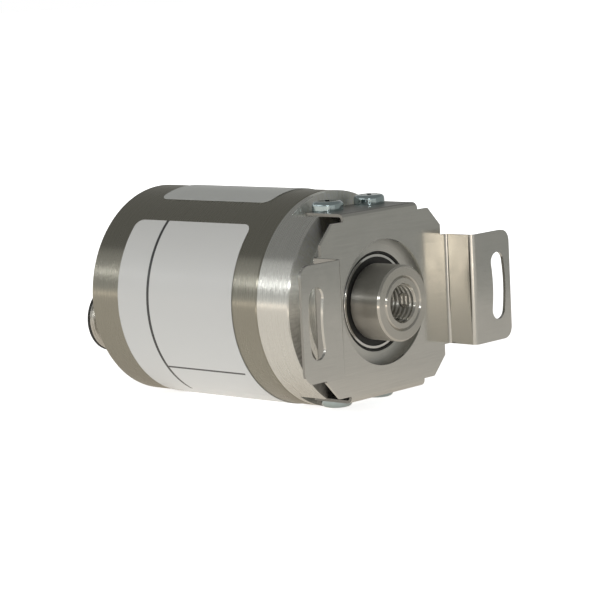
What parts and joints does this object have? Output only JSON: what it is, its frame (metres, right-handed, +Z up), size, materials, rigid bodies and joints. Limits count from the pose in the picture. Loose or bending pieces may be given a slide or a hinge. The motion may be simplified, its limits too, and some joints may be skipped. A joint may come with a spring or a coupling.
{
  "type": "absolute rotary encoder",
  "caption": "Round absolute rotary encoder with a blind hollow shaft in ball bearings, a spring plate with slotted ears and an axial round plug connector.",
  "frame": {"origin": "centre of the hollow shaft's bore where its straight wall begins, just inside the shaft's front face", "axes": "+X along the shaft axis, out of the bore's mouth; +Y towards the right ear as seen facing the shaft; +Z up, towards the upper milled flat"},
  "size_m": [0.0725, 0.0534, 0.0368],
  "materials": {
    "machined_aluminium": "turned, fine tool marks",
    "brushed_stainless": "fine circumferential brushing",
    "spring_steel": "smooth rolled sheet, satin",
    "zinc_plated_steel": "bright zinc plating",
    "turned_steel": "turned and ground",
    "bearing_steel": "ground",
    "dark_steel": "black oxide",
    "nickel_magnet": "nickel plated",
    "nickel_brass": "nickel plated",
    "gold_contacts": "gold plated",
    "cage_plastic": "natural polyamide",
    "chip_plastic": "moulded epoxy",
    "circuit_board": "green solder mask",
    "black_plastic": "moulded",
    "black_rubber": "smooth nitrile",
    "white_label": "satin foil",
    "silver_label": "satin metallised foil"
  },
  "bodies": {
    "stator": {"flange": "machined_aluminium", "housing_cap": "brushed_stainless", "housing_seal_ring": "black_rubber", "spring_plate": "spring_steel", "plate_screws": "zinc_plated_steel", "front_bearing_outer_ring": "bearing_steel", "front_bearing_seals": "black_rubber", "rear_bearing_outer_ring": "bearing_steel", "rear_bearing_seals": "black_rubber", "preload_washer": "spring_steel", "bore_retaining_ring": "dark_steel", "sensor_board": "circuit_board", "sensor_chip": "chip_plastic", "pulse_module": "chip_plastic", "main_board": "circuit_board", "main_board_chips": "chip_plastic", "board_link": "chip_plastic", "board_spacers": "nickel_brass", "board_screws": "zinc_plated_steel", "connector_shell": "nickel_brass", "connector_insert": "black_plastic", "connector_pins": "gold_contacts", "connector_gasket": "black_rubber", "connector_nut": "nickel_brass", "side_label": "white_label", "top_label": "silver_label"},
    "rotor": {"hollow_shaft": "turned_steel", "shaft_set_screws": "dark_steel", "bearing_spacer": "turned_steel", "front_bearing_inner_ring": "bearing_steel", "rear_bearing_inner_ring": "bearing_steel", "shaft_retaining_ring": "dark_steel", "magnet_holder": "machined_aluminium", "magnet": "nickel_magnet"},
    "front_ball_set": {"front_bearing_balls": "bearing_steel", "front_bearing_cage": "cage_plastic"},
    "rear_ball_set": {"rear_bearing_balls": "bearing_steel", "rear_bearing_cage": "cage_plastic"}
  },
  "joints": [
    {"name": "shaft_spin", "type": "hinge", "parent": "stator", "child": "rotor", "pos_m": [0, 0, 0], "axis": [1, 0, 0], "continuous": true},
    {"name": "front_balls_spin", "type": "hinge", "parent": "stator", "child": "front_ball_set", "pos_m": [0, 0, 0], "axis": [1, 0, 0], "continuous": true},
    {"name": "rear_balls_spin", "type": "hinge", "parent": "stator", "child": "rear_ball_set", "pos_m": [0, 0, 0], "axis": [1, 0, 0], "continuous": true}
  ],
  "couplings": [
    {"joint": "front_balls_spin", "follows": "shaft_spin", "ratio": 0.43846},
    {"joint": "rear_balls_spin", "follows": "shaft_spin", "ratio": 0.43846}
  ]
}
